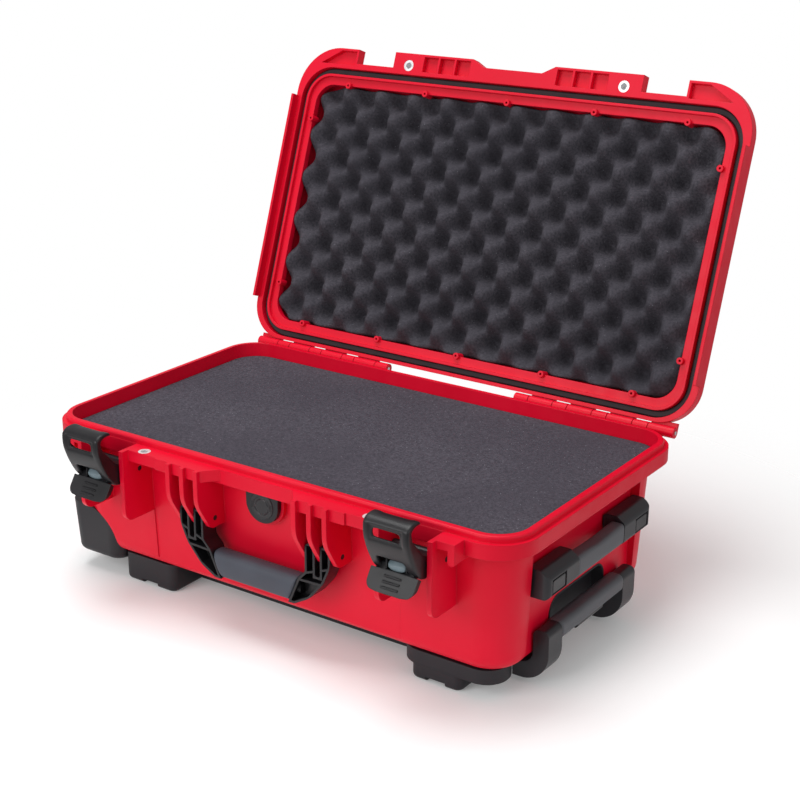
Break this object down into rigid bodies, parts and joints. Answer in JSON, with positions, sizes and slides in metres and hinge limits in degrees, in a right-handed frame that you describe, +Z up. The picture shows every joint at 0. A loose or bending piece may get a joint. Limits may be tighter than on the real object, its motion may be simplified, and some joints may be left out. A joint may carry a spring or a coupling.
{
  "type": "wheeled hard case",
  "caption": "Hinged hard case with a foam-filled tub, egg-crate lid foam, draw latches, folding carry handles, a telescopic pull handle and corner wheels.",
  "frame": {"origin": "middle of the base on the floor plane that the tray's feet stand on", "axes": "+X along the case towards the pull handle, +Z up, so the latches face -Y"},
  "size_m": [0.549, 0.5188, 0.4872],
  "materials": {
    "shell_red": "fine satin moulded resin",
    "foam_base": "open-cell foam with a fine grain",
    "foam_lid": "open-cell egg-crate foam",
    "gasket_rubber": "matt sealing cord",
    "steel": "bright stainless steel",
    "black_plastic": "fine matt moulded resin",
    "dark_plastic": "fine matt moulded resin",
    "grip_grey": "soft-touch overmould",
    "grip_black": "soft-touch overmould",
    "button_grey": "smooth moulded resin",
    "tube_aluminium": "drawn and anodised",
    "tyre": "cast polyurethane"
  },
  "bodies": {
    "base": {"base_shell": "shell_red", "base_foam": "foam_base", "base_foam_pad": "foam_base", "base_eyelets": "steel", "valve_body": "black_plastic", "valve_cap": "dark_plastic", "latch_pins": "steel", "front_handle_pins": "steel", "side_handle_pins": "steel", "hinge_pins": "steel", "under_tray": "black_plastic", "tray_screws": "steel", "guide_tubes": "tube_aluminium", "pull_bezel": "black_plastic", "wheel_housing_front": "black_plastic", "wheel_housing_rear": "black_plastic", "wheel_axles": "steel"},
    "lid": {"lid_shell": "shell_red", "lid_gasket": "gasket_rubber", "lid_foam": "foam_lid", "lid_eyelets": "steel"},
    "front_handle": {"front_handle_frame": "black_plastic", "front_handle_grip": "grip_grey"},
    "side_handle": {"side_handle_frame": "black_plastic", "side_handle_grip": "grip_black", "side_handle_caps": "dark_plastic"},
    "pull_mid": {"pull_mid_tubes": "tube_aluminium"},
    "pull_handle": {"pull_inner_tubes": "tube_aluminium", "pull_end_caps": "black_plastic", "pull_core": "steel", "pull_grip": "grip_black"},
    "pull_release": {"pull_release": "black_plastic"},
    "lever_left": {"latch_lever_left": "black_plastic", "latch_claw_pin_left": "steel"},
    "claw_left": {"latch_claw_left": "black_plastic"},
    "button_left": {"latch_button_left": "button_grey"},
    "lever_right": {"latch_lever_right": "black_plastic", "latch_claw_pin_right": "steel"},
    "claw_right": {"latch_claw_right": "black_plastic"},
    "button_right": {"latch_button_right": "button_grey"},
    "wheel_front": {"wheel_hub_front": "black_plastic", "wheel_tyre_front": "tyre"},
    "wheel_rear": {"wheel_hub_rear": "black_plastic", "wheel_tyre_rear": "tyre"}
  },
  "joints": [
    {"name": "lid_hinge", "type": "hinge", "parent": "base", "child": "lid", "pos_m": [0, 0.1639, 0.1658], "axis": [-1, 0, 0], "range_deg": [-109.7, 0]},
    {"name": "front_handle_fold", "type": "hinge", "parent": "base", "child": "front_handle", "pos_m": [0, -0.153, 0.1115], "axis": [-1, 0, 0], "range_deg": [0, 90]},
    {"name": "side_handle_fold", "type": "hinge", "parent": "base", "child": "side_handle", "pos_m": [0.2515, 0, 0.118], "axis": [0, -1, 0], "range_deg": [0, 75]},
    {"name": "pull_mid_slide", "type": "slide", "parent": "base", "child": "pull_mid", "axis": [1, 0, 0], "range_m": [0, 0.3]},
    {"name": "pull_handle_slide", "type": "slide", "parent": "pull_mid", "child": "pull_handle", "axis": [1, 0, 0], "range_m": [0, 0.3]},
    {"name": "pull_release_squeeze", "type": "slide", "parent": "pull_handle", "child": "pull_release", "axis": [0, 0, 1], "range_m": [0, 0.0025], "stiffness_N_per_m": 800},
    {"name": "lever_left_swing", "type": "hinge", "parent": "base", "child": "lever_left", "pos_m": [-0.175, -0.156, 0.141], "axis": [-1, 0, 0], "range_deg": [-25, 30]},
    {"name": "claw_left_swing", "type": "hinge", "parent": "lever_left", "child": "claw_left", "pos_m": [-0.175, -0.176, 0.14], "axis": [1, 0, 0], "range_deg": [-50, 0]},
    {"name": "button_left_press", "type": "slide", "parent": "lever_left", "child": "button_left", "axis": [0, 1, 0], "range_m": [0, 0.0014], "stiffness_N_per_m": 800},
    {"name": "lever_right_swing", "type": "hinge", "parent": "base", "child": "lever_right", "pos_m": [0.175, -0.156, 0.141], "axis": [-1, 0, 0], "range_deg": [-25, 30]},
    {"name": "claw_right_swing", "type": "hinge", "parent": "lever_right", "child": "claw_right", "pos_m": [0.175, -0.176, 0.14], "axis": [1, 0, 0], "range_deg": [-50, 0]},
    {"name": "button_right_press", "type": "slide", "parent": "lever_right", "child": "button_right", "axis": [0, 1, 0], "range_m": [0, 0.0014], "stiffness_N_per_m": 800},
    {"name": "wheel_front_spin", "type": "hinge", "parent": "base", "child": "wheel_front", "pos_m": [-0.246, -0.095, 0.036], "axis": [0, 1, 0], "continuous": true},
    {"name": "wheel_rear_spin", "type": "hinge", "parent": "base", "child": "wheel_rear", "pos_m": [-0.246, 0.095, 0.036], "axis": [0, 1, 0], "continuous": true}
  ],
  "couplings": [
    {"joint": "pull_handle_slide", "follows": "pull_mid_slide", "ratio": 1}
  ]
}
